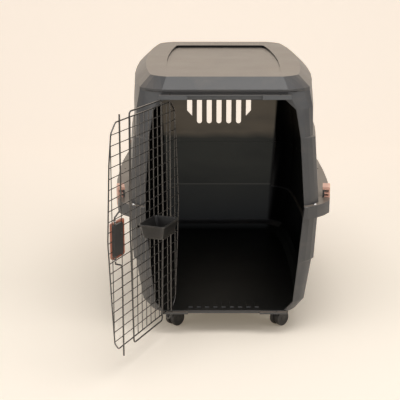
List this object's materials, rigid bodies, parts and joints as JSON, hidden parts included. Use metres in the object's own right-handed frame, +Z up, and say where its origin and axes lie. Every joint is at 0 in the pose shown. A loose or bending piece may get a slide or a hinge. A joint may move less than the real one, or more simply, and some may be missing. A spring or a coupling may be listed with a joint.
{
  "type": "wheeled pet travel crate",
  "caption": "Two-shell moulded pet travel crate on swivel casters, with a hinged wire door, a spring-bar latch, side clips and a clip-on bowl.",
  "frame": {"origin": "on the floor under the centre of the footprint, with the door standing open as stored", "axes": "+Z up, +Y from the door end to the rear, +X to the right seen from the front"},
  "size_m": [0.72, 1.404, 0.82],
  "materials": {
    "shell_plastic": "grained moulded plastic",
    "black_plastic": "satin moulded plastic",
    "terracotta_plastic": "satin moulded plastic",
    "coated_wire": "black-coated steel wire",
    "bright_steel": "zinc-plated steel",
    "wheel_tyre": "hard grey-black wheel plastic"
  },
  "bodies": {
    "crate": {"lower_shell": "shell_plastic", "upper_shell": "shell_plastic", "rim_bolt_1": "bright_steel", "rim_bolt_2": "bright_steel", "rim_bolt_3": "bright_steel", "rim_bolt_4": "bright_steel", "rim_nut_1": "bright_steel", "rim_nut_2": "bright_steel", "rim_nut_3": "bright_steel", "rim_nut_4": "bright_steel", "clip_pin_1": "bright_steel", "clip_pin_2": "bright_steel", "clip_pin_3": "bright_steel", "clip_pin_4": "bright_steel", "caster_stem_1": "bright_steel", "caster_stem_2": "bright_steel", "caster_stem_3": "bright_steel", "caster_stem_4": "bright_steel"},
    "door": {"door_mesh": "coated_wire", "door_loop": "coated_wire", "hinge_rod": "coated_wire", "latch_casing": "terracotta_plastic", "latch_plate": "black_plastic", "latch_screw_lower": "bright_steel", "latch_screw_upper": "bright_steel", "spring_upper": "bright_steel", "spring_lower": "bright_steel"},
    "latch_grip": {"latch_grip": "terracotta_plastic"},
    "latch_bar_upper": {"latch_bar_upper": "coated_wire"},
    "latch_bar_lower": {"latch_bar_lower": "coated_wire"},
    "bowl": {"bowl": "black_plastic"},
    "side_clip_1": {"side_clip_1": "terracotta_plastic"},
    "side_clip_2": {"side_clip_2": "terracotta_plastic"},
    "side_clip_3": {"side_clip_3": "terracotta_plastic"},
    "side_clip_4": {"side_clip_4": "terracotta_plastic"},
    "caster_1": {"caster_hood_1": "black_plastic", "caster_axle_1": "bright_steel"},
    "caster_2": {"caster_hood_2": "black_plastic", "caster_axle_2": "bright_steel"},
    "caster_3": {"caster_hood_3": "black_plastic", "caster_axle_3": "bright_steel"},
    "caster_4": {"caster_hood_4": "black_plastic", "caster_axle_4": "bright_steel"},
    "wheels_1": {"wheel_left_1": "wheel_tyre", "wheel_right_1": "wheel_tyre"},
    "wheels_2": {"wheel_left_2": "wheel_tyre", "wheel_right_2": "wheel_tyre"},
    "wheels_3": {"wheel_left_3": "wheel_tyre", "wheel_right_3": "wheel_tyre"},
    "wheels_4": {"wheel_left_4": "wheel_tyre", "wheel_right_4": "wheel_tyre"}
  },
  "joints": [
    {"name": "door_hinge", "type": "hinge", "parent": "crate", "child": "door", "pos_m": [-0.167, -0.32646, 0.42], "axis": [0, 0, 1], "range_deg": [-47.2, 112.8]},
    {"name": "latch_grip_slide", "type": "slide", "parent": "door", "child": "latch_grip", "axis": [0.3875, 0.9219, 0], "range_m": [0, 0.0095], "stiffness_N_per_m": 400, "springref_m": -0.01},
    {"name": "latch_bar_upper_slide", "type": "slide", "parent": "door", "child": "latch_bar_upper", "axis": [0, 0, -1], "range_m": [0, 0.019], "deforming": ["spring_upper"]},
    {"name": "latch_bar_lower_slide", "type": "slide", "parent": "door", "child": "latch_bar_lower", "axis": [0, 0, 1], "range_m": [0, 0.019], "deforming": ["spring_lower"]},
    {"name": "bowl_lift", "type": "slide", "parent": "door", "child": "bowl", "axis": [0, 0, 1], "range_m": [0, 0.015]},
    {"name": "side_clip_1_hinge", "type": "hinge", "parent": "crate", "child": "side_clip_1", "pos_m": [0.33132, -0.19172, 0.391], "axis": [0.1186, 0.9929, 0], "range_deg": [0, 95]},
    {"name": "side_clip_2_hinge", "type": "hinge", "parent": "crate", "child": "side_clip_2", "pos_m": [-0.33132, -0.19172, 0.391], "axis": [0.1186, -0.9929, 0], "range_deg": [0, 95]},
    {"name": "side_clip_3_hinge", "type": "hinge", "parent": "crate", "child": "side_clip_3", "pos_m": [0.32948, 0.55472, 0.391], "axis": [-0.1253, 0.9921, 0], "range_deg": [0, 95]},
    {"name": "side_clip_4_hinge", "type": "hinge", "parent": "crate", "child": "side_clip_4", "pos_m": [-0.32948, 0.55472, 0.391], "axis": [-0.1253, -0.9921, 0], "range_deg": [0, 95]},
    {"name": "caster_1_swivel", "type": "hinge", "parent": "crate", "child": "caster_1", "pos_m": [0.17, -0.25046, 0.05], "axis": [0, 0, 1], "continuous": true},
    {"name": "caster_2_swivel", "type": "hinge", "parent": "crate", "child": "caster_2", "pos_m": [-0.17, -0.25046, 0.05], "axis": [0, 0, 1], "continuous": true},
    {"name": "caster_3_swivel", "type": "hinge", "parent": "crate", "child": "caster_3", "pos_m": [0.17, 0.53854, 0.05], "axis": [0, 0, 1], "continuous": true},
    {"name": "caster_4_swivel", "type": "hinge", "parent": "crate", "child": "caster_4", "pos_m": [-0.17, 0.53854, 0.05], "axis": [0, 0, 1], "continuous": true},
    {"name": "wheels_1_spin", "type": "hinge", "parent": "caster_1", "child": "wheels_1", "pos_m": [0.18295, -0.23796, 0.026], "axis": [-0.6947, 0.7193, 0], "continuous": true},
    {"name": "wheels_2_spin", "type": "hinge", "parent": "caster_2", "child": "wheels_2", "pos_m": [-0.15705, -0.23796, 0.026], "axis": [-0.6947, 0.7193, 0], "continuous": true},
    {"name": "wheels_3_spin", "type": "hinge", "parent": "caster_3", "child": "wheels_3", "pos_m": [0.18295, 0.55104, 0.026], "axis": [-0.6947, 0.7193, 0], "continuous": true},
    {"name": "wheels_4_spin", "type": "hinge", "parent": "caster_4", "child": "wheels_4", "pos_m": [-0.15705, 0.55104, 0.026], "axis": [-0.6947, 0.7193, 0], "continuous": true}
  ],
  "couplings": [
    {"joint": "latch_bar_upper_slide", "follows": "latch_grip_slide", "ratio": 2},
    {"joint": "latch_bar_lower_slide", "follows": "latch_grip_slide", "ratio": 2}
  ]
}
